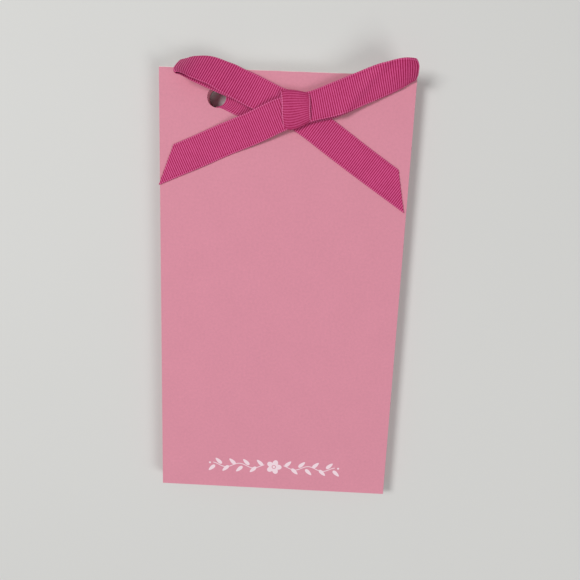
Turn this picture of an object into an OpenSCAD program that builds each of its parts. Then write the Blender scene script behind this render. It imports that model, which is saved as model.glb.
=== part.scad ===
// Tall memo pad: a block of sheets on a chipboard back, with a ribbon through two
// drilled holes that is tied in a bow on the front. The pad lies on its back, face up.
// Millimetres. +Y runs towards the pad's top edge, +Z is the way the top sheet faces.
// Z = 0 is the table under the ribbon's back strand, X = 0 is the middle of the pad's
// width, and Y = 0 is halfway between the pad's bottom edge and the top of the bow.

/* [Pad] */
// Width of the pad from its left edge to its right edge
pad_w = 120.65; // [90:0.05:160]
// Length of the pad from its bottom edge to its top edge
pad_h = 215.9; // [150:0.1:280]
// Number of sheets in the block
sheets = 75; // [30:1:120]
// Thickness of one sheet
sheet_t = 0.11; // [0.08:0.01:0.15]
// Thickness of the chipboard back
board_t = 0.8; // [0.5:0.1:1.6]
// Thickness of the padding glue on the top edge
glue_t = 0.25; // [0.15:0.05:0.6]

/* [Holes] */
// Diameter of the two drilled holes
hole_d = 9.5; // [8:0.1:13]
// Distance of the left hole's centre from the pad's left edge
hole_left = 27.5; // [15:0.5:34]
// Distance between the two holes' centres
hole_pitch = 57; // [44:0.5:70]
// Distance of the holes' centres below the pad's top edge
hole_drop = 12.7; // [9:0.1:18]

/* [Ribbon] */
// Width of the ribbon
ribbon_w = 15; // [11:0.5:18]
// Thickness of the ribbon
ribbon_t = 0.4; // [0.25:0.05:0.6]
// Gap between the ribbon and the pad, in the holes and over the faces
ribbon_gap = 0.1; // [0.06:0.02:0.2]
// Depth over which each free end is cut on the slant
cut_slant = 15; // [0:0.5:20]

/* [Bow] */
// Distance of the bow's centre below the pad's top edge
bow_drop = 17.5; // [14:0.5:40]
// Distance of the bow's centre to the right of the pad's middle
bow_side = 4; // [-2:0.5:8]
// Width of the wrap round the middle of the bow
knot_w = 13.3; // [10:0.1:16]
// Height of the knot at its left side
knot_left_h = 15.5; // [13:0.5:20]
// Height of the knot at its right side
knot_right_h = 12.8; // [11:0.1:18]
// How far the knot swells at its lower side
knot_belly = 2.3; // [0:0.1:3]
// How far the knot swells at its upper side
knot_brow = 1.2; // [0:0.1:2]
// Thickness of the knot from front to back
knot_t = 5.4; // [5:0.1:7]
// Turn of the knot on the pad, counter-clockwise
knot_turn = 6; // [0:1:15]

/* [Hidden] */

block_t = sheets * sheet_t;
pad_t = block_t + board_t;
hole_r = hole_d / 2;
clear = ribbon_gap + ribbon_t / 2;
cut_over = 1;

// Places on the pad's front face, measured from its middle, with z = 0 at the top sheet
left_hole = [hole_left - pad_w / 2, pad_h / 2 - hole_drop];
right_hole = left_hole + [hole_pitch, 0];
bow = [bow_side, pad_h / 2 - bow_drop];
back_z = -pad_t - clear;

// Routes of the ribbon's middle line, measured from the bow's centre. Each station is
// x, y, the height of the ribbon's underside over the top sheet, the direction of its
// width as the angle on the pad and the rise of the upper edge, both in degrees, and the
// share of the full width that is left where the ribbon is gathered.
// From the left tail's tip over the knot and round the right loop:
tail_and_right_loop = [
    [-61.2, -27.3, 0.3, 115, 0, 1],
    [-47, -21, 0.3, 115, 0, 1],
    [-33, -14.5, 0.5, 115, 1, 1],
    [-19, -8.5, 2.3, 115, 6, 1],
    [-8, -3, 3.7, 114, 4, 1],
    [0, 0, 4.2, 108, 0, 0.95],
    [8, 2.1, 3.8, 103, 0, 0.9],
    [19.5, 6, 3.5, 107, 1, 1],
    [31.5, 11.2, 3.1, 108, 8, 1],
    [42, 15.7, 4.2, 107, 22, 1],
    [48.5, 17.7, 5.7, 105, 38, 1],
    [52.4, 18.2, 6.9, 104, 54, 1],
    [55, 18.6, 7.2, 104, 60, 1],
    [55.4, 18.9, 7, 104, 61, 1],
    [55, 19.2, 6.8, 104, 60, 1],
    [52.4, 18.7, 6.4, 104, 54, 1],
    [48.5, 18.2, 5, 105, 38, 1],
    [42, 16.1, 3.2, 107, 22, 1],
    [31, 11.9, 1.7, 108, 8, 1],
    [18.5, 6.1, 1.5, 107, 0, 1],
    [7, 2.5, 1.6, 104, 0, 0.9],
    [-1, 2, 1.6, 100, 0, 0.85],
];
// From the knot round the left loop, under the knot and down the right tail:
left_loop_and_tail = [
    [2, 1, 2.6, 66, 0, 0.9],
    [-8, 3.2, 2.1, 66, 0, 0.95],
    [-18, 7.2, 2.3, 63, -6, 1],
    [-29, 11.9, 3.6, 62, -18, 1],
    [-40.5, 16.5, 4.5, 66, -30, 1],
    [-48.5, 17.9, 4.6, 78, -46, 1],
    [-52.5, 17.9, 4.6, 92, -56, 1],
    [-55, 17.7, 4.5, 96, -60, 1],
    [-55.4, 17.4, 4.3, 96, -60, 1],
    [-55, 17, 4.2, 96, -60, 1],
    [-52.5, 17, 3.9, 92, -56, 1],
    [-47, 16.5, 3.4, 75, -42, 1],
    [-37, 13.9, 2.8, 66, -26, 1],
    [-24, 9.9, 1.5, 63, -9, 1],
    [-12, 4.4, 1.1, 66, 0, 0.97],
    [-2, -0.2, 1.1, 61, 0, 0.9],
    [8, -5.5, 1, 56, 0, 0.97],
    [20, -13.5, 0.6, 56, 0, 1],
    [34, -23, 0.3, 56, 0, 1],
    [53, -35.5, 0.3, 56, 0, 1],
];
route_steps = 3;
route_across = 3;
slant_rows = 6;

// The strand that is threaded through both holes. Its height in the knot, the length
// over which it gathers from its full width to a curl that fits the hole, and how much
// rounder than its clearance it bends over a hole's rim:
strand_lift = 0.4;
gather_length = 12;
strand_across = 6;
curl_r = hole_r - clear;
curl_angle = ribbon_w / curl_r * 180 / PI;
rim_ease = 0.1;
rim_r = clear + rim_ease;
rim_steps = 2;
run_steps = 6;

// The middle of the knot, measured from the bow's centre, how it is cut up, how square
// its section is, and how far its swells lean to the left
knot_side = 0.7;
knot_rise = 1;
knot_slices = 8;
knot_points = 20;
knot_square = 2.6;
knot_lean = 0.6;
knot_crown = 0.05;

function unit(v) = v / norm(v);
function ease(t) = let (c = max(0, min(1, t))) c * c * (3 - 2 * c);
function mix(a, b, t) = a + (b - a) * t;

// A smooth curve through the stations, and its direction
function ahead(s, i) = s[min(i + 1, len(s) - 1)];
function behind(s, i) = s[max(i - 1, 0)];
function curve(s, i, t) = let (a = behind(s, i), b = s[i], c = ahead(s, i), d = ahead(s, i + 1))
    (2 * b + (c - a) * t + (2 * a - 5 * b + 4 * c - d) * t * t
        + (3 * b - a - 3 * c + d) * t * t * t) / 2;
function curve_way(s, i, t) = let (a = behind(s, i), b = s[i], c = ahead(s, i), d = ahead(s, i + 1))
    ((c - a) + 2 * (2 * a - 5 * b + 4 * c - d) * t
        + 3 * (3 * b - a - 3 * c + d) * t * t) / 2;
function rows(s) = concat(
    [for (i = [0 : len(s) - 2]) for (k = [0 : route_steps - 1]) [i, k / route_steps]],
    [[len(s) - 2, 1]]);
function place(p) = [bow[0] + p[0], bow[1] + p[1], p[2] + ribbon_t / 2];
function along(p) = unit([p[0], p[1], p[2]]);
function width_way(p) = [cos(p[3]) * cos(p[4]), sin(p[3]) * cos(p[4]), sin(p[4])];

// Middle points and normals of a flat stretch of ribbon, row by row. shear is how far
// the two edges are moved along the ribbon, one each way, for the slant of a free end.
function flat_row(s, r, shear) = let (
        p = curve(s, r[0], r[1]),
        way = along(curve_way(s, r[0], r[1])))
    [for (j = [0 : route_across])
        let (v = 2 * j / route_across - 1)
        place(p) + width_way(p) * v * p[5] * ribbon_w / 2 + way * v * shear];
function flat_normal(s, r) = let (
        p = curve(s, r[0], r[1]),
        way = along(curve_way(s, r[0], r[1])))
    [for (j = [0 : route_across]) unit(cross(way, width_way(p)))];

// Middle points and normals of the threaded strand. side is -1 at the left hole and 1
// at the right hole. share runs from 0 at the bow's centre to 1 at the hole's rim.
function turn(v) = v * curl_angle / 2;
function hole_at(side) = side < 0 ? left_hole : right_hole;
function fall_x(side, v) = hole_at(side)[0] - side * curl_r * cos(turn(v));
function spread(side, v, x) =
    mix(v * ribbon_w / 2, curl_r * sin(turn(v)),
        ease(1 - abs(x - fall_x(side, v)) / gather_length));
function inward(side, v) = [side * cos(turn(v)), -sin(turn(v)), 0];
function front_point(side, v, share) = let (
        rim_x = fall_x(side, v) - side * rim_r,
        x = mix(bow[0], rim_x, share),
        y = mix(bow[1] + 2, hole_at(side)[1], share))
    [x, y + spread(side, v, x), clear + strand_lift * (1 - ease(share * 2))];
function back_point(side, v, share) = let (
        rim_x = fall_x(side, v) - side * rim_r,
        middle_x = (left_hole[0] + right_hole[0]) / 2,
        x = mix(middle_x, rim_x, share))
    [x, hole_at(side)[1] + spread(side, v, x), back_z];
function rim_point(side, v, top, angle) = [
    fall_x(side, v) - side * rim_r * (1 - sin(angle)),
    hole_at(side)[1] + curl_r * sin(turn(v)),
    top ? clear - rim_r * (1 - cos(angle)) : back_z + rim_r * (1 - cos(angle))];
function rim_normal(side, v, top, angle) =
    unit((top ? 1 : -1) * [0, 0, 1] * cos(angle) + inward(side, v) * sin(angle));

function across(n) = [for (j = [0 : n]) 1 - 2 * j / n];
function strand_half(side, normals) = let (vs = across(strand_across)) concat(
    [for (k = [0 : run_steps - 1])
        [for (v = vs) normals ? [0, 0, 1] : front_point(side, v, k / run_steps)]],
    [for (k = [0 : rim_steps])
        let (a = 90 * k / rim_steps)
        [for (v = vs) normals ? rim_normal(side, v, true, a) : rim_point(side, v, true, a)]],
    [for (k = [rim_steps : -1 : 0])
        let (a = 90 * k / rim_steps)
        [for (v = vs) normals ? rim_normal(side, v, false, a) : rim_point(side, v, false, a)]],
    [for (k = [run_steps - 1 : -1 : 1])
        [for (v = vs) normals ? [0, 0, -1] : back_point(side, v, k / run_steps)]]);
function reversed(list) = [for (i = [len(list) - 1 : -1 : 0]) list[i]];
function strand(normals) = let (vs = across(strand_across)) concat(
    strand_half(-1, normals),
    [[for (v = vs) normals ? [0, 0, -1] : back_point(-1, v, 0)]],
    reversed([for (i = [1 : len(strand_half(1, normals)) - 1]) strand_half(1, normals)[i]]));

// The ribbon's highest reach past the pad's top edge, which settles the frame's Y
route_rows = concat(
    [for (r = rows(tail_and_right_loop)) flat_row(tail_and_right_loop, r, 0)],
    [for (r = rows(left_loop_and_tail)) flat_row(left_loop_and_tail, r, 0)]);
top_reach = max([for (row = route_rows) for (p = row) p[1]]);
frame_shift = [0, -(top_reach - pad_h / 2) / 2, ribbon_gap + ribbon_t + pad_t];

// A sheet of the ribbon's thickness about a grid of middle points
module cloth(mid, normals, looped) {
    n = len(mid);
    m = len(mid[0]);
    function at(i, j, under) = ((i % n) * m + j) * 2 + under;
    function quad(a, b, c, d) = [[a, b, c], [a, c, d]];
    points = [for (i = [0 : n - 1]) for (j = [0 : m - 1]) for (s = [1, -1])
        mid[i][j] + s * normals[i][j] * ribbon_t / 2];
    last = looped ? n - 1 : n - 2;
    quads = concat(
        [for (i = [0 : last]) for (j = [0 : m - 2])
            quad(at(i, j, 0), at(i, j + 1, 0), at(i + 1, j + 1, 0), at(i + 1, j, 0))],
        [for (i = [0 : last]) for (j = [0 : m - 2])
            quad(at(i, j, 1), at(i + 1, j, 1), at(i + 1, j + 1, 1), at(i, j + 1, 1))],
        [for (i = [0 : last])
            quad(at(i, 0, 0), at(i + 1, 0, 0), at(i + 1, 0, 1), at(i, 0, 1))],
        [for (i = [0 : last])
            quad(at(i, m - 1, 0), at(i, m - 1, 1), at(i + 1, m - 1, 1), at(i + 1, m - 1, 0))],
        looped ? [] : [for (j = [0 : m - 2])
            quad(at(0, j, 0), at(0, j, 1), at(0, j + 1, 1), at(0, j + 1, 0))],
        looped ? [] : [for (j = [0 : m - 2])
            quad(at(n - 1, j, 0), at(n - 1, j + 1, 0), at(n - 1, j + 1, 1), at(n - 1, j, 1))]);
    polyhedron(points, [for (q = quads) for (t = q) t], convexity = 6);
}

// The first or the last rows of a band take up the slant of its free end
module bow_band(s, free_start) {
    r = rows(s);
    n = len(r) - 1;
    function shear(i) = free_start
        ? cut_slant / 2 * max(0, 1 - i / slant_rows)
        : -cut_slant / 2 * max(0, 1 - (n - i) / slant_rows);
    cloth(
        [for (i = [0 : n]) flat_row(s, r[i], shear(i))],
        [for (i = [0 : n]) flat_normal(s, r[i])],
        false);
}

// The knot's outline, a rounded box that swells below and above, at a share of the way
// across it
function squared(way) = sign(way) * pow(abs(way), 2 / knot_square);
function knot_outline(share) = let (
        swell = sin(180 * pow(share, knot_lean)),
        level = mix(knot_left_h, knot_right_h, share) / 2,
        upper = level + knot_brow * swell,
        lower = -level - knot_belly * swell,
        deep = knot_t / 2 * (1 + knot_crown * sin(180 * share)))
    [for (i = [0 : knot_points - 1])
        let (a = 360 * (i + 0.5) / knot_points)
        [(share - 0.5) * knot_w,
            (upper + lower) / 2 + (upper - lower) / 2 * squared(cos(a)),
            deep * squared(sin(a))]];

module knot_slice(from, to) {
    n = knot_points;
    hull()
        polyhedron(concat(knot_outline(from), knot_outline(to)), concat(
            [[for (i = [0 : n - 1]) i]],
            [for (i = [0 : n - 1]) [i, n + i, n + (i + 1) % n, (i + 1) % n]],
            [[for (i = [n - 1 : -1 : 0]) n + i]]));
}

module knot() {
    translate([bow[0] + knot_side, bow[1] + knot_rise, ribbon_gap + knot_t * (1 + knot_crown) / 2])
        rotate(knot_turn)
            for (i = [0 : knot_slices - 1])
                knot_slice(i / knot_slices, (i + 1) / knot_slices);
}

// A layer of the pad between two heights, with both holes drilled through it
module drilled_layer(low, high) {
    translate(frame_shift)
        difference() {
            translate([-pad_w / 2, -pad_h / 2, low])
                cube([pad_w, pad_h, high - low]);
            for (hole = [left_hole, right_hole])
                translate([hole[0], hole[1], low - cut_over])
                    cylinder(h = high - low + 2 * cut_over, r = hole_r, $fn = 48);
        }
}

module sheet_block() {
    color([0.83, 0.56, 0.63])
        drilled_layer(-block_t, 0);
}

module backing_board() {
    color([0.55, 0.53, 0.49])
        drilled_layer(-pad_t, -block_t);
}

module glue_edge() {
    color([0.93, 0.90, 0.86])
        translate(frame_shift)
            translate([-pad_w / 2, pad_h / 2, -pad_t])
                cube([pad_w, glue_t, pad_t]);
}

module ribbon() {
    color([0.75, 0.27, 0.47])
        translate(frame_shift) {
            bow_band(tail_and_right_loop, true);
            bow_band(left_loop_and_tail, false);
            cloth(strand(false), strand(true), true);
            knot();
        }
}

sheet_block();
backing_board();
glue_edge();
ribbon();
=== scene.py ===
"""A tall memo pad that lies on its back: 75 pink sheets on a chipboard back, with a
grosgrain ribbon threaded through two drilled holes and tied in a flat bow on the front.

The file is laid out as an add-on and is run as a script. Shapes are worked out in
millimetres from the middle of the pad's front face (x right, y towards the top edge,
z out of the face) and are put into the frame in metres by to_frame.
"""

import bpy
import numpy as np
from bpy.props import FloatProperty, FloatVectorProperty, IntProperty, PointerProperty
from mathutils import Matrix, Vector


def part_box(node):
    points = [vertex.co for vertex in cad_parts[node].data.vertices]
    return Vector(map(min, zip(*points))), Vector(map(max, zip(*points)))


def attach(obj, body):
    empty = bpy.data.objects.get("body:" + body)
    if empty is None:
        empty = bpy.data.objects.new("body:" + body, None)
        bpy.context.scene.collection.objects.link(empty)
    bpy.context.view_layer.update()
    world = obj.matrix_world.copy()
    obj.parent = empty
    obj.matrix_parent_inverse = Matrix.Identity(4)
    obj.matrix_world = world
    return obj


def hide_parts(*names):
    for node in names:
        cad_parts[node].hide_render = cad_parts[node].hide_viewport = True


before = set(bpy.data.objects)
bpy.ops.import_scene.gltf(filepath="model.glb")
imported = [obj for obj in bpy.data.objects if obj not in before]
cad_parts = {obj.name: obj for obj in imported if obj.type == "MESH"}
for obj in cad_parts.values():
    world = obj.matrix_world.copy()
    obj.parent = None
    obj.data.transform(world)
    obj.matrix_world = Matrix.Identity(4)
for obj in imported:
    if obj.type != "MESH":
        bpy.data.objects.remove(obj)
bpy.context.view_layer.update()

bl_info = {
    "name": "Memo pad with a ribbon bow",
    "version": (1, 0, 0),
    "blender": (4, 5, 0),
    "location": "3D View > Sidebar > Memo pad",
    "description": "Dresses the packed memo pad with sheets, board, glue and a tied ribbon",
    "category": "Add Mesh",
}

BLOCK = [np.array(corner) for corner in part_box("sheet_block")]
BOARD = [np.array(corner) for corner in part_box("backing_board")]
FRONT = np.array([(BLOCK[0][0] + BLOCK[1][0]) / 2, (BLOCK[0][1] + BLOCK[1][1]) / 2, BLOCK[1][2]])
PAD_W, PAD_H, BLOCK_T = (BLOCK[1] - BLOCK[0]) * 1000
PAD_T = (BLOCK[1][2] - BOARD[0][2]) * 1000

# Places on the front face, in millimetres, as in the part's source
HOLE_R = 4.75
HOLE_DROP = 12.7
HOLES = {
    -1: np.array([27.5 - PAD_W / 2, PAD_H / 2 - HOLE_DROP]),
    1: np.array([84.5 - PAD_W / 2, PAD_H / 2 - HOLE_DROP]),
}
BOW = np.array([4.0, PAD_H / 2 - 17.5, 0.0])
HALF_THICK = 0.2

# Seeds of the sheets' trim play and of the ribbon's cut ends
TRIM_SEED = 11
FRAY_SEED = 5

# Stations of the ribbon's middle line from the bow's centre: x, y, height of the
# underside, turn and rise of the width in degrees, share of the full width, and how far
# the middle of the width stands proud of its edges.
TAIL_AND_RIGHT_LOOP = [
    (-61.2, -27.3, 0.3, 115, 0, 1, 0),
    (-47, -21, 0.3, 115, 0, 1, 0),
    (-33, -14.5, 0.5, 115, 1, 1, 0),
    (-19, -8.5, 2.3, 115, 6, 1, 0.1),
    (-8, -3, 3.7, 114, 4, 1, 0.3),
    (0, 0, 4.2, 108, 0, 0.95, 0.5),
    (8, 2.1, 3.8, 103, 0, 0.9, 0.6),
    (19.5, 6, 3.5, 107, 1, 1, 0.4),
    (31.5, 11.2, 3.1, 108, 8, 1, 0.2),
    (42, 15.7, 4.2, 107, 22, 1, 0.1),
    (48.5, 17.7, 5.7, 105, 38, 1, 0),
    (52.4, 18.5, 6.9, 104, 52, 1, 0),
    (55, 18.8, 7.2, 104, 60, 1, 0),
    (55.4, 19.1, 7, 104, 61, 1, 0),
    (55, 19.4, 6.8, 104, 60, 1, 0),
    (52.4, 19, 6.4, 104, 52, 1, 0),
    (48.5, 18, 4.6, 105, 38, 1, 0),
    (42, 15.4, 3.2, 107, 22, 1, 0),
    (31, 11.1, 1.7, 108, 8, 1, 0),
    (18.5, 5.1, 1.5, 107, 0, 1, 0),
    (7, 1.2, 1.6, 104, 0, 0.86, 0),
    (-1, 1, 1.6, 100, 0, 0.8, 0),
]
LEFT_LOOP_AND_TAIL = [
    (2, 1, 2.6, 66, 0, 0.9, 0.2),
    (-8, 3.2, 2.1, 66, 0, 0.95, 0.2),
    (-18, 7.2, 2.3, 63, -6, 1, 0.2),
    (-29, 11.9, 3.6, 62, -18, 1, 0.2),
    (-40.5, 16.5, 4.5, 66, -30, 1, 0.1),
    (-48.5, 17.9, 4.6, 74, -46, 1, 0),
    (-52.5, 17.9, 4.6, 79, -56, 1, 0),
    (-55.2, 17.7, 4.5, 81, -60, 1, 0),
    (-55.6, 17.4, 4.3, 81, -60, 1, 0),
    (-55.2, 17, 4.2, 81, -60, 1, 0),
    (-52.5, 17, 3.9, 79, -56, 1, 0),
    (-47, 16.5, 3.4, 73, -42, 1, 0),
    (-37, 13.9, 2.8, 66, -26, 1, 0),
    (-24, 9.9, 1.5, 63, -9, 1, 0),
    (-12, 4.4, 1.1, 66, 0, 0.97, 0),
    (-2, -0.2, 1.1, 61, 0, 0.9, 0),
    (8, -5.5, 1, 56, 0, 0.97, 0),
    (20, -13.5, 0.6, 56, 0, 1, 0),
    (34, -23, 0.3, 56, 0, 1, 0),
    (53, -35.5, 0.3, 56, 0, 1, 0),
]


def srgb(colour):
    """The linear value of a colour written as sRGB."""
    c = np.array(colour[:3], float)
    return tuple(np.where(c <= 0.04045, c / 12.92, ((c + 0.055) / 1.055) ** 2.4))


def to_frame(points):
    """Millimetres from the middle of the front face, turned into the frame's metres."""
    return np.asarray(points, float) / 1000 + FRONT


# Settings


class PadSettings(bpy.types.PropertyGroup):
    sheets: IntProperty(name="Sheets", description="Number of sheets in the block", default=75, min=2)
    trim: FloatProperty(
        name="Trim play", description="How far a sheet's edge may lie out of line",
        default=0.00006, unit="LENGTH", subtype="DISTANCE", precision=6,
    )
    paper: FloatVectorProperty(
        name="Paper", description="Colour of the sheets",
        default=srgb((0.845, 0.55, 0.622)), subtype="COLOR",
    )
    board: FloatVectorProperty(
        name="Chipboard", description="Colour of the back",
        default=srgb((0.56, 0.54, 0.50)), subtype="COLOR",
    )
    glue: FloatVectorProperty(
        name="Glue", description="Colour of the padding glue",
        default=srgb((0.93, 0.90, 0.87)), subtype="COLOR",
    )
    ink: FloatVectorProperty(
        name="Ornament", description="Colour of the printed sprig",
        default=srgb((0.95, 0.87, 0.9)), subtype="COLOR",
    )
    sprig_y: FloatProperty(
        name="Ornament height", description="Height of the sprig over the pad's bottom edge",
        default=0.0129, unit="LENGTH", subtype="DISTANCE", precision=4,
    )


class RibbonSettings(bpy.types.PropertyGroup):
    width: FloatProperty(
        name="Width", description="Width of the ribbon", default=0.015,
        unit="LENGTH", subtype="DISTANCE", precision=4,
    )
    rib: FloatProperty(
        name="Rib", description="Distance from one rib to the next", default=0.001044,
        unit="LENGTH", subtype="DISTANCE", precision=6,
    )
    crest: FloatProperty(
        name="Crest", description="Thickness of the ribbon at a rib", default=0.0004,
        unit="LENGTH", subtype="DISTANCE", precision=6,
    )
    groove: FloatProperty(
        name="Groove", description="Thickness of the ribbon between two ribs", default=0.0003,
        unit="LENGTH", subtype="DISTANCE", precision=6,
    )
    # The rib colour is a painted highlight on the crests, and the groove colour is painted shade between the
    # ribs.
    bright: FloatVectorProperty(
        name="Lit rib colour", description="Colour of a rib's crest",
        default=srgb((0.865, 0.36, 0.59)), subtype="COLOR",
    )
    edge: FloatVectorProperty(
        name="Edge colour", description="Colour of the woven edges",
        default=srgb((0.87, 0.44, 0.63)), subtype="COLOR",
    )
    deep: FloatVectorProperty(
        name="Shaded groove colour", description="Colour between the ribs",
        default=srgb((0.59, 0.01, 0.245)), subtype="COLOR",
    )


class StageSettings(bpy.types.PropertyGroup):
    floor: FloatVectorProperty(
        name="Floor", description="Colour of the floor",
        default=srgb((0.84, 0.84, 0.83)), subtype="COLOR",
    )
    key: FloatProperty(name="Key light", description="Strength of the main soft light", default=2.6)
    fill: FloatProperty(
        name="Fill light", description="Strength of the light from the lower right", default=1.4,
    )
    sky: FloatProperty(name="Sky", description="Strength of the light from all round", default=0.27)
    backdrop: FloatProperty(
        name="Backdrop", description="How pale the sky looks where it is seen", default=0.62,
    )


# Shader sums


class Value:
    """A shader socket. Arithmetic on it adds the Math node that works it out."""

    def __init__(self, paint, socket):
        self.paint, self.socket = paint, socket

    def math(self, operation, *others, clamp=False):
        settings = {"operation": operation, "use_clamp": clamp}
        return self.paint.node("ShaderNodeMath", settings, dict(enumerate((self, *others))))

    def __add__(self, other):
        return self.math("ADD", other)

    __radd__ = __add__

    def __sub__(self, other):
        return self.math("SUBTRACT", other)

    def __rsub__(self, other):
        return self.paint.node("ShaderNodeMath", {"operation": "SUBTRACT"}, {0: other, 1: self})

    def __mul__(self, other):
        return self.math("MULTIPLY", other)

    __rmul__ = __mul__

    def __truediv__(self, other):
        return self.math("DIVIDE", other)

    def __rtruediv__(self, other):
        return self.paint.node("ShaderNodeMath", {"operation": "DIVIDE"}, {0: other, 1: self})

    def __pow__(self, other):
        return self.math("POWER", other)

    def __neg__(self):
        return self * -1

    def __abs__(self):
        return self.math("ABSOLUTE")

    def below(self, edge, soft):
        """1 where the value is under edge, 0 where it is over it, with a soft step between."""
        over = self.math("SUBTRACT", edge - soft).math("DIVIDE", 2 * soft, clamp=True)
        return over.math("MULTIPLY_ADD", -1, 1)

    def least(self, other):
        return self.math("MINIMUM", other)

    def most(self, other):
        return self.math("MAXIMUM", other)


class Paint:
    """One material's node tree, with a single way to add a node."""

    def __init__(self, name):
        self.material = bpy.data.materials.new(name)
        self.material.use_nodes = True
        self.tree = self.material.node_tree
        self.tree.nodes.clear()
        self.shader = self.tree.nodes.new("ShaderNodeBsdfPrincipled")
        out = self.tree.nodes.new("ShaderNodeOutputMaterial")
        self.tree.links.new(self.shader.outputs[0], out.inputs["Surface"])

    def plug(self, socket, value):
        if isinstance(value, Value):
            self.tree.links.new(value.socket, socket)
        elif isinstance(value, (tuple, list)) and len(value) == 3 and socket.type == "RGBA":
            socket.default_value = (*value, 1)
        else:
            socket.default_value = value

    def node(self, kind, settings=None, values=None, out=0):
        """Adds a node of that kind, sets its settings, plugs values or links into its
        sockets, and returns one of its outputs."""
        n = self.tree.nodes.new(kind)
        for key, value in (settings or {}).items():
            setattr(n, key, value)
        for key, value in (values or {}).items():
            self.plug(n.inputs[key], value)
        return Value(self, n.outputs[out])

    def set(self, **values):
        for key, value in values.items():
            self.plug(self.shader.inputs[key.replace("_", " ")], value)

    def mix(self, share, a, b):
        return self.node("ShaderNodeMix", {"data_type": "RGBA"}, {0: share, 6: a, 7: b}, out=2)

    def shade(self, colour, amount):
        """A colour times a value."""
        return self.node("ShaderNodeVectorMath", {"operation": "SCALE"}, {0: colour, 3: amount})

    def split(self, vector):
        return [self.node("ShaderNodeSeparateXYZ", None, {0: vector}, out=i) for i in range(3)]

    def place(self):
        """Object coordinates in millimetres, measured from the middle of the front face."""
        co = self.node("ShaderNodeTexCoord", out="Object")
        return self.node(
            "ShaderNodeMapping", {"vector_type": "POINT"},
            {"Vector": co, "Location": tuple(-FRONT * 1000), "Scale": (1000, 1000, 1000)},
        )

    def stretch(self, vector, x, y, z):
        return self.node("ShaderNodeVectorMath", {"operation": "MULTIPLY"}, {0: vector, 1: (x, y, z)})

    def noise(self, vector, scale, detail=2, rough=0.5):
        return self.node(
            "ShaderNodeTexNoise", None,
            {"Vector": vector, "Scale": scale, "Detail": detail, "Roughness": rough},
        )

    def bump(self, height, distance, strength=1):
        values = {"Height": height, "Distance": distance, "Strength": strength}
        self.set(Normal=self.node("ShaderNodeBump", None, values))


class Sky(Paint):
    """The world's node tree, whose shader is its Background node."""

    def __init__(self, name):
        self.world = bpy.data.worlds.new(name)
        self.world.use_nodes = True
        self.tree = self.world.node_tree
        self.shader = self.tree.nodes["Background"]


# Materials


def paper_material(pad):
    """Dyed writing paper: fibres as fine stretched noise, a slow mottle, sheets that differ
    a little in tone where their edges show, and a printed sprig drawn from distances."""
    p = Paint("dyed_paper")
    at = p.place()
    x, y, z = p.split(at)
    fibre = p.noise(p.stretch(at, 1, 2.2, 1), 2.6, 4, 0.65)
    mottle = p.noise(at, 0.06, 3, 0.6)
    leaf = p.noise(p.stretch(at, 0.01, 0.01, 1), 8.5, 1)
    face = (-z).below(0.03, 0.02)
    cloud = p.noise(at, 0.8, 3, 0.7)
    tone = 1 + (fibre - 0.5) * 0.12 + (cloud - 0.5) * 0.22 + (mottle - 0.5) * 0.07
    tone = tone * (1 + (1 - face) * ((leaf - 0.5) * 0.3 + 0.03))

    u = x - 0.3
    v = y - (pad.sprig_y * 1000 - PAD_H / 2)
    reach = abs(u)
    stem = abs(v - (reach * 0.42).math("SINE") * 1.2).below(0.22, 0.07)
    stem = stem * reach.below(33, 0.1) * (1 - reach.below(5.2, 0.1))
    sprig = stem
    pitch, last = 7.48, 3
    tilt_x, tilt_y = 0.72, 0.69
    for turn, start in ((1, 7.6), (-1, 11.3)):
        step = (reach - start) / pitch
        cell = (step - step.math("ROUND").most(0).least(last)) * pitch
        lift = v * turn - 2.1
        a = cell * tilt_x + lift * tilt_y
        b = lift * tilt_x - cell * tilt_y
        sprig = sprig.most(((a / 2.3) ** 2 + (b / (0.95 - a * 0.12)) ** 2).below(1, 0.1))
    r = (u * u + v * v).math("SQRT")
    angle = v.math("ARCTAN2", u)
    petal = r - abs((angle * 2.5).math("COSINE")) * 1.7
    flower = petal.below(2.5, 0.12) * (1 - r.below(1.15, 0.1)) + r.below(0.75, 0.1)
    dots = ((reach - 34.8) ** 2 + (v - 0.9) ** 2).math("SQRT").below(0.55, 0.08)
    sprig = sprig.most(flower).most(dots) * face
    ink = sprig * (0.9 + (fibre - 0.5) * 0.3)

    p.set(Base_Color=p.mix(ink, p.shade(tuple(pad.paper), tone), tuple(pad.ink)))
    p.set(Roughness=0.78 + (fibre - 0.5) * 0.2 - sprig * 0.12)
    p.bump(fibre, 0.00002, 0.5)
    p.shader.inputs["Specular IOR Level"].default_value = 0.35
    return p.material


def board_material(pad):
    """Grey chipboard: pulp clouds, dark and pale flecks, and thin plies along its edges."""
    p = Paint("grey_chipboard")
    at = p.place()
    cloud = p.noise(at, 0.35, 4, 0.6)
    fleck = p.noise(p.stretch(at, 1, 0.45, 2), 1.9, 3, 0.7)
    ply = p.noise(p.stretch(at, 0.08, 0.08, 1), 9, 2)
    dark = (1 - fleck.below(0.64, 0.03)) * 0.35
    pale = fleck.below(0.33, 0.02) * 0.3
    tone = 1 + (cloud - 0.5) * 0.35 + (ply - 0.5) * 0.16 - dark + pale
    p.set(Base_Color=p.shade(tuple(pad.board), tone))
    p.set(Roughness=0.86 + (cloud - 0.5) * 0.15)
    p.bump(cloud + fleck * 0.6, 0.00008, 0.7)
    p.shader.inputs["Specular IOR Level"].default_value = 0.3
    return p.material


def glue_material(pad):
    """Dried padding glue: a satin, slightly milky skin over the sheets' edges."""
    p = Paint("padding_glue")
    at = p.place()
    stroke = p.noise(p.stretch(at, 0.06, 1, 2.4), 1.6, 3, 0.6)
    blot = p.noise(at, 0.16, 2)
    p.set(Base_Color=p.mix(blot.below(0.52, 0.2) * 0.45, tuple(pad.glue), tuple(pad.paper)))
    p.set(Roughness=0.34 + stroke * 0.3)
    p.bump(stroke, 0.00012, 0.8)
    return p.material


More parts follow.
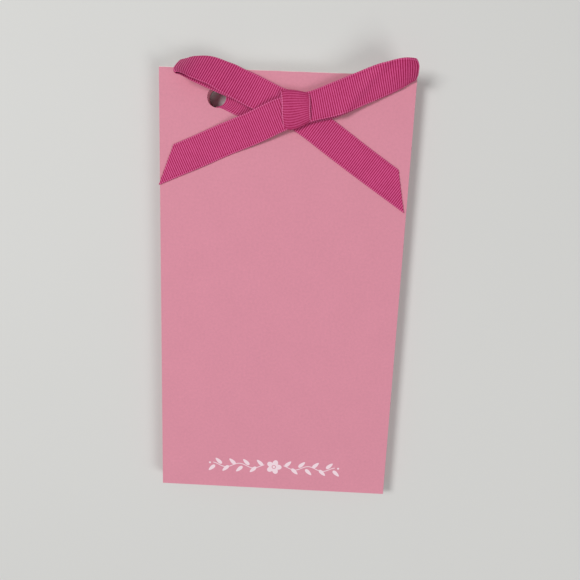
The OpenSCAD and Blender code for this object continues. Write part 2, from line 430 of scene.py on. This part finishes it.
def ribbon_material(ribbon):
    """Grosgrain: rib crests painted bright over grooves painted deep, which is a painted highlight on
    the crests and painted shade between the ribs on top of the ribs' real relief, warp threads
    that run along the ribbon across every rib, and a tighter, paler selvedge. The weave
    attribute holds the distance along the ribbon in ribs, across it from -1 to 1, and how far
    the ribs are pressed flat."""
    p = Paint("grosgrain")
    weave = p.node("ShaderNodeAttribute", {"attribute_name": "weave"}, out="Vector")
    along, across, pressed = p.split(weave)
    at = p.place()
    crest = (along * (2 * np.pi)).math("COSINE") * 0.5 + 0.5
    warp_threads = 27
    wander = (along * np.pi).math("SINE") * 0.6
    thread = (across * (np.pi * warp_threads) + wander).math("SINE") * 0.5 + 0.5
    worn = p.noise(at, 0.09, 3, 0.6)
    fleck = p.noise(at, 0.9, 3, 0.7)
    fuzz = p.noise(at, 3.2, 3, 0.7)
    reach = abs(across)
    selvedge = 1 - reach.below(0.912, 0.02)
    beside = abs(reach - 0.87).below(0.03, 0.02)
    # The share swings from the groove colour to the rib colour once per rib, as painted shade in the grooves
    # and a painted highlight on the crests. The swing is smaller where the ribs are pressed flat, and pressed
    # parts are a little darker all over.
    share = (crest - 0.5) * (1 - pressed * 0.52) + 0.48 - pressed * 0.08
    share = share + (thread - 0.5) * 0.3 + (fuzz - 0.5) * 0.5 + (fleck - 0.5) * 0.5
    share = (share - beside * 0.15).math("ADD", 0, clamp=True)
    colour = p.mix(share, tuple(ribbon.deep), tuple(ribbon.bright))
    colour = p.mix(selvedge * (0.1 + crest * 0.35 + pressed * 0.35), colour, tuple(ribbon.edge))
    p.set(Base_Color=p.shade(colour, 1 + (worn - 0.5) * 0.16))
    p.set(Roughness=0.62 - crest * 0.1 + (fuzz - 0.5) * 0.2)
    p.bump(thread * (0.4 + crest * 0.6) + fuzz * 0.4, 0.00003, 0.7)
    p.shader.inputs["Sheen Weight"].default_value = 0.02
    p.shader.inputs["Sheen Roughness"].default_value = 0.45
    p.shader.inputs["Specular IOR Level"].default_value = 0.12
    return p.material


def floor_material(stage):
    """A plain pale floor with the faintest mottle."""
    p = Paint("pale_floor")
    co = p.node("ShaderNodeTexCoord", out="Object")
    mottle = p.noise(co, 9, 2)
    p.set(Base_Color=p.shade(tuple(stage.floor), 1 + (mottle - 0.5) * 0.02))
    p.set(Roughness=0.8 + (mottle - 0.5) * 0.1)
    p.shader.inputs["Specular IOR Level"].default_value = 0.2
    return p.material


# Meshes


def make_piece(name, points, faces, material, weave=None, smooth=True):
    """Puts points in millimetres and rows of vertex numbers into a mesh that lies in the
    frame, rides it on the pad, and gives it the material that it takes its finish from."""
    mesh = bpy.data.meshes.new(name)
    rows = [row for part in faces for row in np.asarray(part).tolist()]
    mesh.from_pydata(to_frame(points).tolist(), [], rows)
    mesh.polygons.foreach_set("use_smooth", np.full(len(mesh.polygons), smooth))
    if weave is not None:
        layer = mesh.attributes.new("weave", "FLOAT_VECTOR", "POINT")
        layer.data.foreach_set("vector", np.asarray(weave, np.float32).ravel())
    mesh.materials.append(material)
    mesh.update()
    piece = bpy.data.objects.new(name, mesh)
    bpy.context.scene.collection.objects.link(piece)
    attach(piece, "root")
    return piece


def drilled_outline(holes, radius, half, count):
    """The flat layout of a sheet with two round holes: a grid of lines across the sheet
    that are closest over each hole's square, with the squares left out and filled by
    rings that run from the square's sides to the circle at the same bearings. Returns the
    points, the faces, the outer loop and the loops round the holes."""
    w, h = PAD_W / 2, PAD_H / 2
    span = np.linspace(-half, half, count + 1)
    left, right = holes
    xs = np.concatenate([[-w], left[0] + span, right[0] + span, [w]])
    ys = np.concatenate([[-h], left[1] + span, [h]])
    nx, ny = len(xs), len(ys)
    grid = np.stack(np.meshgrid(xs, ys, indexing="ij"), -1).reshape(-1, 2)
    number = np.arange(nx * ny).reshape(nx, ny)
    i, j = np.meshgrid(np.arange(nx - 1), np.arange(ny - 1), indexing="ij")
    in_rows = (j >= 1) & (j < 1 + count)
    in_hole = ((i >= 1) & (i < 1 + count) | (i >= 2 + count) & (i < 2 + 2 * count)) & in_rows
    i, j = i[~in_hole], j[~in_hole]
    faces = [np.stack([number[i, j], number[i + 1, j], number[i + 1, j + 1], number[i, j + 1]], 1)]
    points, loops = [grid], []
    total = len(grid)
    for first, centre in ((1, left), (2 + count, right)):
        a, b = np.arange(first, first + count), np.arange(1, 1 + count)
        square = np.concatenate([
            number[a, 1], number[first + count, b],
            number[a[::-1] + 1, 1 + count], number[first, b[::-1] + 1],
        ])
        away = grid[square] - centre
        circle = centre + radius * away / np.linalg.norm(away, axis=1, keepdims=True)
        ring = total + np.arange(len(circle))
        total += len(circle)
        points.append(circle)
        loops.append(ring)
        faces.append(np.stack([square, np.roll(square, -1), np.roll(ring, -1), ring], 1))
    outer = np.concatenate([number[:-1, 0], number[-1, :-1], number[:0:-1, -1], number[0, :0:-1]])
    return np.concatenate(points), np.concatenate(faces), outer, loops


def stacked_sheets(pad):
    """Every sheet is the flat layout twice, a sheet's thickness apart, joined round its
    edge and its holes. The sheets lie on each other, each moved by a seeded amount under
    the trim play."""
    half_square, cells, paper_share = 6.2, 8, 0.94
    holes = (HOLES[-1], HOLES[1])
    flat, faces, outer, loops = drilled_outline(holes, HOLE_R, half_square, cells)
    n, k = len(flat), pad.sheets
    pitch = BLOCK_T / k
    rng = np.random.default_rng(TRIM_SEED)
    play = np.clip(rng.normal(0, 0.45, (k, 1, 2)), -1, 1) * pad.trim * 1000
    play[0] = 0
    top = -pitch * np.arange(k)
    xy = flat[None] + play
    upper = np.concatenate([xy, np.broadcast_to(top[:, None, None], (k, n, 1))], 2)
    lower = upper - [0, 0, pitch * paper_share]
    points = np.concatenate([upper, lower], 1).reshape(-1, 3)
    walls = [np.stack([outer, outer + n, np.roll(outer, -1) + n, np.roll(outer, -1)], 1)]
    walls += [np.stack([ring, np.roll(ring, -1), np.roll(ring, -1) + n, ring + n], 1) for ring in loops]
    one = np.concatenate([faces, faces[:, ::-1] + n, *walls])
    every = (one[None] + (2 * n * np.arange(k))[:, None, None]).reshape(-1, 4)
    return points, every


def glue_skin():
    """A closed skin carried along the top edge: its section is a thin box with two rounded
    outer corners, and its outer side rises and falls a little with brush strokes."""
    x = np.linspace(-PAD_W / 2, PAD_W / 2, 241)
    front, back = 0.0, -PAD_T
    y = np.array([0, 0.13, 0.2, 0.235, *[0.245] * 9, 0.235, 0.2, 0.13, 0])
    z = np.concatenate([
        [front, front, front - 0.03, front - 0.1],
        np.linspace(front - 0.35, back + 0.35, 9),
        [back + 0.1, back + 0.03, back, back],
    ])
    stroke = np.sin(x[:, None] * 0.21 + z * 1.7) + 0.6 * np.sin(x[:, None] * 0.53 - z * 3.1 + 1)
    proud = np.where((y > 0.2)[None], -0.022 * (1.6 + stroke) / 3.2, 0)
    points = np.stack([
        np.broadcast_to(x[:, None], proud.shape),
        PAD_H / 2 + y[None] + proud,
        np.broadcast_to(z[None], proud.shape),
    ], 2)
    m = len(y)
    ring = np.arange(m)
    beside = np.roll(ring, -1)
    i = np.arange(len(x) - 1)[:, None] * m
    quads = np.stack([i + ring, i + beside, i + m + beside, i + m + ring], 2).reshape(-1, 4)
    last = (len(x) - 1) * m
    return points.reshape(-1, 3), quads, [ring[::-1]], [ring + last]


# Ribbon


def smooth_route(stations, step, before=0.0, after=0.0):
    """A Catmull-Rom curve through the stations, read off at an even step along its
    length, with a straight run added before its start or after its end. Returns the
    columns, the distance along, which is 0 at the first station, and the length from the
    first station to the last."""
    s = np.asarray(stations, float)
    e = np.vstack([s[:1], s, s[-1:]])
    a, b, c, d = (e[k : len(e) - 3 + k, None] for k in range(4))
    t = np.linspace(0, 1, 80, endpoint=False)[None, :, None]
    fine = (2 * b + (c - a) * t + (2 * a - 5 * b + 4 * c - d) * t**2 + (3 * b - a - 3 * c + d) * t**3) / 2
    fine = np.vstack([fine.reshape(-1, s.shape[1]), s[-1:]])
    run = np.concatenate([[0], np.cumsum(np.linalg.norm(np.diff(fine[:, :3], axis=0), axis=1))])
    total = run[-1]
    at = np.arange(-before, total + after + step / 2, step)
    columns = np.stack([np.interp(at, run, col) for col in fine.T], 1)
    head = (fine[1, :3] - fine[0, :3]) / run[1]
    tail = (fine[-1, :3] - fine[-2, :3]) / (run[-1] - run[-2])
    columns[:, :3] += np.minimum(at, 0)[:, None] * head + np.maximum(at - total, 0)[:, None] * tail
    return columns, at, total


def row_ways(columns):
    """Directions across the ribbon and out of its face, row by row. The width's direction
    comes from its turn and rise, and the face's is square to it and to the route."""
    along = np.gradient(columns[:, :3], axis=0)
    along /= np.linalg.norm(along, axis=1, keepdims=True)
    turn, rise = np.radians(columns[:, 3]), np.radians(columns[:, 4])
    wide = np.stack([np.cos(turn) * np.cos(rise), np.sin(turn) * np.cos(rise), np.sin(rise)], 1)
    out = np.cross(along, wide)
    return wide, out / np.linalg.norm(out, axis=1, keepdims=True)


ROWS_PER_RIB = 6
ACROSS = np.array([
    -1, -0.985, -0.94, -0.8, -0.6, -0.4, -0.2, 0, 0.2, 0.4, 0.6, 0.8, 0.94, 0.985, 1,
])


def bow_grid(columns, half, low, high, creases):
    """Middle surface of a flat stretch: each row runs from its lower to its upper bound of
    the width, stands proud in the middle by its crown, and is lifted along each crease by
    a bell-shaped ridge. Returns the points and the share of the width at each."""
    wide, out = row_ways(columns)
    v = low[:, None] + (high - low)[:, None] * (ACROSS + 1)[None] / 2
    middle = columns[:, :3] + BOW + [0, 0, HALF_THICK]
    share, crown = columns[:, 5:6], columns[:, 6:7]
    proud = crown * (1 - v**2) - crown / 2 + creases(columns, v)
    points = middle[:, None] + wide[:, None] * (v * share * half)[..., None]
    return points + out[:, None] * proud[..., None], v


def rounded_tip(points, v, side, start, upper, lower):
    """Draws in the two corners of a loop's tip. Past the start, a point's distance out is
    cut by a share that grows with the square of how near it lies to an edge of the width."""
    past = np.maximum(0, side * (points[..., 0] - BOW[0]) - start)
    near = (np.maximum(0, np.abs(v) - 0.25) / 0.75) ** 2
    points[..., 0] -= side * past * near * np.where(v > 0, upper, lower)
    return points


def ease(t):
    c = np.clip(t, 0, 1)
    return c * c * (3 - 2 * c)


def even_rows(loop, step):
    """The rows of a closed run, read off again at an even step along its middle line, with
    a whole number of ribs. Returns the rows, the share of the width at each point, the
    distance along in ribs, and the run's length."""
    line = loop.mean(1)
    closed = np.vstack([line, line[:1]])
    run = np.concatenate([[0], np.cumsum(np.linalg.norm(np.diff(closed, axis=0), axis=1))])
    ribs = int(round(run[-1] / step / ROWS_PER_RIB))
    at = np.linspace(0, run[-1], ribs * ROWS_PER_RIB + 1)[:-1]
    where = np.clip(np.searchsorted(run, at, side="right") - 1, 0, len(run) - 2)
    part = ((at - run[where]) / np.maximum(run[where + 1] - run[where], 1e-9))[:, None, None]
    grid = loop[where] * (1 - part) + np.roll(loop, -1, 0)[where] * part
    v = np.broadcast_to(ACROSS[None], grid.shape[:2])
    return grid, v, at / run[-1] * ribs, run[-1]


def strand_grid(half, step):
    """Middle surface of the threaded strand, as a closed run: level under the knot, round
    the rim of the left hole, down it, across the back, up the right hole and back. In a
    hole the width curls into an arc that follows the wall, and it opens out to its full
    width over a short way on either side of the hole."""
    clear = 0.3
    curl_r = HOLE_R - clear
    rim, gather, lift = clear + 0.1, 12.0, 0.4
    v = -ACROSS[None]
    curl = v * half / curl_r
    back_z = -PAD_T - clear

    def side_rows(side):
        hx, hy = HOLES[side]
        fall = hx - side * curl_r * np.cos(curl)

        def spread(x):
            return v * half + (curl_r * np.sin(curl) - v * half) * ease(1 - np.abs(x - fall) / gather)

        t = np.linspace(0, 1, 240, endpoint=False)[:, None]
        x = BOW[0] + (fall - side * rim - BOW[0]) * t
        lean = 1.05 - side * 0.95 * ease(t / 0.15)
        y = BOW[1] + lean + (hy - BOW[1] - lean) * t
        front = np.stack([x, y + spread(x), np.broadcast_to(clear + lift * (1 - ease(t * 2)), x.shape)], 2)
        a = np.linspace(0, np.pi / 2, 14)[:, None]
        bend_x = fall - side * rim * (1 - np.sin(a))
        bend_y = np.broadcast_to(hy + curl_r * np.sin(curl), bend_x.shape)
        top = np.stack([bend_x, bend_y, np.broadcast_to(clear - rim * (1 - np.cos(a)), bend_x.shape)], 2)
        low = np.stack([bend_x, bend_y, np.broadcast_to(back_z + rim * (1 - np.cos(a)), bend_x.shape)], 2)[::-1]
        d = np.linspace(0, 1, 60)[1:-1, None, None]
        down = top[-1:] + (low[:1] - top[-1:]) * d
        q = np.linspace(1, 0, 160, endpoint=False)[1:, None]
        middle = (HOLES[-1][0] + HOLES[1][0]) / 2
        x = middle + (fall - side * rim - middle) * q
        back = np.stack([x, hy + spread(x), np.full(x.shape, back_z)], 2)
        return np.concatenate([front, top, down, low, back])

    left, right = side_rows(-1), side_rows(1)
    return even_rows(np.concatenate([left, right[:0:-1]]), step)


def wrap_grid(step):
    """Middle surface of the wrap round the knot: a ring whose outline is a rounded box,
    higher at its left side than at its right, that swells below and a little above, with
    soft creases down its front. The run goes up the front and down the back."""
    w, tall_left, tall_right, belly, brow = 13.3, 15.5, 12.8, 2.3, 1.2
    deep, square, turn = 5.4, 2.6, np.radians(6)
    x = (ACROSS + 1)[None] / 2
    tall = (tall_left + (tall_right - tall_left) * x) / 2 - HALF_THICK
    bell = np.sin(np.pi * x**0.6)
    upper, lower = tall + brow * bell, -tall - belly * bell
    thick = deep / 2 * (1 + 0.05 * np.sin(np.pi * x)) - HALF_THICK
    a = np.linspace(0, 2 * np.pi, 1441)[:-1, None]
    power = 2 / square
    y = (upper + lower) / 2 + (upper - lower) / 2 * np.sign(-np.cos(a)) * np.abs(np.cos(a)) ** power
    z = thick * np.sign(np.sin(a)) * np.abs(np.sin(a)) ** power
    z = z + np.where(z > 0, 0.12 * np.sin(x * 9.5 + y * 0.25) * np.clip(z, 0, 1), 0)
    lx = np.broadcast_to((x - 0.5) * w, y.shape) + 0.15 * np.sin(y * 0.5)
    grid, v, ribs, length = even_rows(np.stack([lx, y, z], 2), step)
    c, s = np.cos(turn), np.sin(turn)
    gx, gy, gz = grid[..., 0], grid[..., 1], grid[..., 2]
    centre = np.array([BOW[0] + 0.7, BOW[1] + 1, 0.1 + deep * 1.05 / 2])
    return np.stack([gx * c - gy * s, gx * s + gy * c, gz], 2) + centre, v, ribs, length


def woven(grid, v, ribs, ribbon, closed=False, pressed=0.0):
    """A ribbed cloth about a middle surface: both faces stand off it along its normal by
    half a thickness that swings between groove and crest once per rib, and the two edges
    are drawn in to a round. Returns points, faces and the weave attribute."""
    if closed:
        along = np.roll(grid, -1, 0) - np.roll(grid, 1, 0)
    else:
        along = np.gradient(grid, axis=0)
    across = np.gradient(grid, axis=1)
    out = np.cross(along, across)
    out /= np.linalg.norm(out, axis=2, keepdims=True) + 1e-12
    crest, groove = ribbon.crest * 500, ribbon.groove * 500
    rib = (0.5 + 0.5 * np.cos(2 * np.pi * ribs)) ** 0.8
    lip = np.sqrt(np.clip(1 - np.abs(ACROSS) ** 24, 0, 1))
    half = ((groove + (crest - groove) * rib)[:, None] * lip[None])[..., None]
    rows, m = grid.shape[:2]
    points = np.concatenate([grid + out * half, (grid - out * half)[:, -2:0:-1]], 1)
    k = points.shape[1]
    both = np.concatenate([v, v[:, -2:0:-1]], 1)
    weave = np.stack([np.broadcast_to(ribs[:, None], both.shape), both, np.full(both.shape, pressed)], 2)
    ring = np.arange(k)
    beside = np.roll(ring, -1)
    first = np.arange(rows if closed else rows - 1)[:, None]
    following = (first + 1) % rows
    quads = np.stack([
        first * k + ring, following * k + ring, following * k + beside, first * k + beside,
    ], 2).reshape(-1, 4)
    faces = [quads]
    if not closed:
        over = np.arange(m)
        under = np.concatenate([[0], np.arange(k - 1, m - 1, -1), [m - 1]])
        start = np.stack([over[1:-2], over[2:-1], under[2:-1], under[1:-2]], 1)
        ends = np.array([[over[0], over[1], under[1]], [over[-2], over[-1], under[-2]]])
        end = (rows - 1) * k
        faces += [start, ends, start[:, ::-1] + end, ends[:, ::-1] + end]
    return points.reshape(-1, 3), faces, weave.reshape(-1, 3)


def left_tail_creases(columns, v):
    """A shallow wave along the tail, and a soft diagonal ridge across the right loop's
    outer face that rises from its lower edge near the knot to its upper edge half way out."""
    x = columns[:, 0:1]
    wave = 0.1 * np.sin(x * 0.16) * np.exp(-(((x + 42) / 18) ** 2)) * v
    front = np.linspace(0, 1, len(x))[:, None] < 0.68
    line = -0.9 + (x - 21) / 21 * 1.8
    ridge = 1.15 * np.exp(-(((v - line) / 0.3) ** 2)) * ease((x - 12) / 8) * ease((50 - x) / 8)
    return wave + np.where(front, ridge, 0)


def right_tail_creases(columns, v):
    """A shallow wave along the tail, and in the left loop's outer face a faint lengthwise
    fold and a soft buckle that runs slanting across it."""
    x = columns[:, 0:1]
    front = np.linspace(0, 1, len(x))[:, None] < 0.35
    fold = -0.2 * np.exp(-(((v - 0.1) / 0.35) ** 2)) * ease((-8 - x) / 10) * ease((x + 46) / 12)
    buckle = -1.0 * np.exp(-(((x + 34 - 3 * v) / 3) ** 2)) * (1 - 0.3 * v * v)
    return 0.08 * np.sin(x * 0.19) * v + np.where(front, fold + buckle, 0)


def tied_ribbon(ribbon):
    """All of the ribbon: both stretches of the bow with their slanted ends, the strand
    through the holes, and the wrap. A slanted end is cut by letting the rows reach only
    as far across as the slant, so that the ribs stay square to the ribbon."""
    half = ribbon.width * 500
    step = ribbon.rib * 1000 / ROWS_PER_RIB
    slant, blunt = 7.5, 0.2
    rng = np.random.default_rng(FRAY_SEED)

    def frayed(reach):
        """The upper bound of the rows near a slanted end, ragged by a thread here and there."""
        threads = np.arange(-9, 60, 0.5)
        ragged = np.interp(reach, threads, rng.normal(0, 0.012, len(threads)))
        return np.clip(-1 + (reach + slant) / slant + ragged, -0.97, 1)

    parts = []
    columns, at, length = smooth_route(TAIL_AND_RIGHT_LOOP, step, before=slant - blunt)
    total = length + slant
    low = np.full(len(at), -1.0)
    grid, v = bow_grid(columns, half, low, np.where(at < slant + 1, frayed(at), 1.0), left_tail_creases)
    grid = rounded_tip(grid, v, 1, 49.5, 0.3, 0.16)
    parts.append(woven(grid, v, at / step / ROWS_PER_RIB, ribbon))
    columns, at, length = smooth_route(LEFT_LOOP_AND_TAIL, step, after=slant - blunt)
    total += length + slant
    low = np.full(len(at), -1.0)
    left = length - at
    grid, v = bow_grid(columns, half, low, np.where(left < slant + 1, frayed(left), 1.0), right_tail_creases)
    grid = rounded_tip(grid, v, -1, 48, 0.08, 0.26)
    parts.append(woven(grid, v, at / step / ROWS_PER_RIB, ribbon))
    for (grid, v, ribs, run), pressed in ((strand_grid(half, step), 0.2), (wrap_grid(step), 1.0)):
        total += run
        parts.append(woven(grid, v, ribs, ribbon, closed=True, pressed=pressed))
    points, faces, weave, first = [], [], [], 0
    for p, f, w in parts:
        points.append(p)
        faces += [face + first for face in f]
        weave.append(w)
        first += len(p)
    return np.concatenate(points), faces, np.concatenate(weave), total / 1000


# Operators


class PAD_OT_sheets(bpy.types.Operator):
    """Builds the stack of sheets and prints the sprig on the top one"""

    bl_idname = "memo_pad.sheets"
    bl_label = "Sheets"

    def execute(self, context):
        pad = context.scene.memo_pad
        points, faces = stacked_sheets(pad)
        piece = make_piece("pad_sheets", points, [faces], paper_material(pad), smooth=False)
        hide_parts("sheet_block")
        return {"FINISHED"}


class PAD_OT_board(bpy.types.Operator):
    """Gives the chipboard back its finish"""

    bl_idname = "memo_pad.board"
    bl_label = "Chipboard back"

    def execute(self, context):
        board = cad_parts["backing_board"]
        board.data.materials.clear()
        board.data.materials.append(board_material(context.scene.memo_pad))
        return {"FINISHED"}


class PAD_OT_glue(bpy.types.Operator):
    """Builds the skin of padding glue along the top edge"""

    bl_idname = "memo_pad.glue"
    bl_label = "Padding glue"

    def execute(self, context):
        points, quads, start, end = glue_skin()
        skin = glue_material(context.scene.memo_pad)
        piece = make_piece("padding_glue", points, [quads, start, end], skin)
        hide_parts("glue_edge")
        return {"FINISHED"}


class PAD_OT_ribbon(bpy.types.Operator):
    """Builds the threaded and tied ribbon"""

    bl_idname = "memo_pad.ribbon"
    bl_label = "Ribbon bow"

    def execute(self, context):
        ribbon = context.scene.pad_ribbon
        points, faces, weave, length = tied_ribbon(ribbon)
        piece = make_piece("ribbon_bow", points, faces, ribbon_material(ribbon), weave)
        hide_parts("ribbon")
        return {"FINISHED"}


class PAD_OT_stage(bpy.types.Operator):
    """Adds the floor, the soft lights and the camera"""

    bl_idname = "memo_pad.stage"
    bl_label = "Floor, lights and camera"

    def execute(self, context):
        scene, stage = context.scene, context.scene.pad_stage
        mesh = bpy.data.meshes.new("floor")
        reach = 2
        corners = [(-reach, -reach, 0), (reach, -reach, 0), (reach, reach, 0), (-reach, reach, 0)]
        mesh.from_pydata(corners, [], [(0, 1, 2, 3)])
        mesh.materials.append(floor_material(stage))
        floor = bpy.data.objects.new("floor", mesh)
        scene.collection.objects.link(floor)

        watts = 4
        for name, place, size, power in (
            ("key", (-0.68, 0.36, 1.12), 0.4, stage.key),
            ("fill", (0.7, -0.5, 1.0), 0.6, stage.fill),
        ):
            lamp = bpy.data.lights.new(name, "AREA")
            lamp.size, lamp.energy = size, power * watts
            light = bpy.data.objects.new(name, lamp)
            aim = Vector((0, 0, 0)) - Vector(place)
            light.matrix_world = Matrix.Translation(place) @ aim.to_track_quat("-Z", "Y").to_matrix().to_4x4()
            scene.collection.objects.link(light)

        sky = Sky("soft_sky")
        rays = ("Is Camera Ray", "Is Glossy Ray", "Is Transmission Ray")
        direct, glossy, clear = (sky.node("ShaderNodeLightPath", out=ray) for ray in rays)
        shown = direct.most(glossy).most(clear)
        sky.set(Color=(1, 1, 1), Strength=stage.sky + (stage.backdrop - stage.sky) * shown)
        scene.world = sky.world
        scene.view_settings.view_transform = "Standard"

        right = np.array([0.99882, 0.03925, -0.02846])
        up = np.array([-0.04453, 0.97482, -0.21849])
        back = np.array([0.01917, 0.21950, 0.97542])
        eye = to_frame([10.8194, 68.0269, 285.8216])
        lens = bpy.data.cameras.new("camera")
        lens.lens, lens.sensor_width, lens.clip_start = 36, 36, 0.01
        camera = bpy.data.objects.new("camera", lens)
        m = np.eye(4)
        m[:3, 0], m[:3, 1], m[:3, 2], m[:3, 3] = right, up, back, eye
        camera.matrix_world = Matrix(m.tolist())
        scene.collection.objects.link(camera)
        scene.camera = camera
        return {"FINISHED"}


class PAD_PT_panel(bpy.types.Panel):
    """Lists the pad's settings and the steps that build it"""

    bl_idname = "PAD_PT_panel"
    bl_label = "Memo pad"
    bl_space_type = "VIEW_3D"
    bl_region_type = "UI"
    bl_category = "Memo pad"

    def draw(self, context):
        for settings in (context.scene.memo_pad, context.scene.pad_ribbon, context.scene.pad_stage):
            box = self.layout.box()
            for name in settings.__annotations__:
                box.prop(settings, name)
        for step in STEPS:
            self.layout.operator(step.bl_idname)


STEPS = (PAD_OT_sheets, PAD_OT_board, PAD_OT_glue, PAD_OT_ribbon, PAD_OT_stage)
CLASSES = (PadSettings, RibbonSettings, StageSettings, *STEPS, PAD_PT_panel)


def register():
    for each in CLASSES:
        bpy.utils.register_class(each)
    bpy.types.Scene.memo_pad = PointerProperty(type=PadSettings)
    bpy.types.Scene.pad_ribbon = PointerProperty(type=RibbonSettings)
    bpy.types.Scene.pad_stage = PointerProperty(type=StageSettings)


def unregister():
    del bpy.types.Scene.memo_pad, bpy.types.Scene.pad_ribbon, bpy.types.Scene.pad_stage
    for each in reversed(CLASSES):
        bpy.utils.unregister_class(each)


def main():
    register()
    bpy.ops.memo_pad.sheets()
    bpy.ops.memo_pad.board()
    bpy.ops.memo_pad.glue()
    bpy.ops.memo_pad.ribbon()
    bpy.ops.memo_pad.stage()
    bpy.context.view_layer.update()


if __name__ == "__main__":
    main()
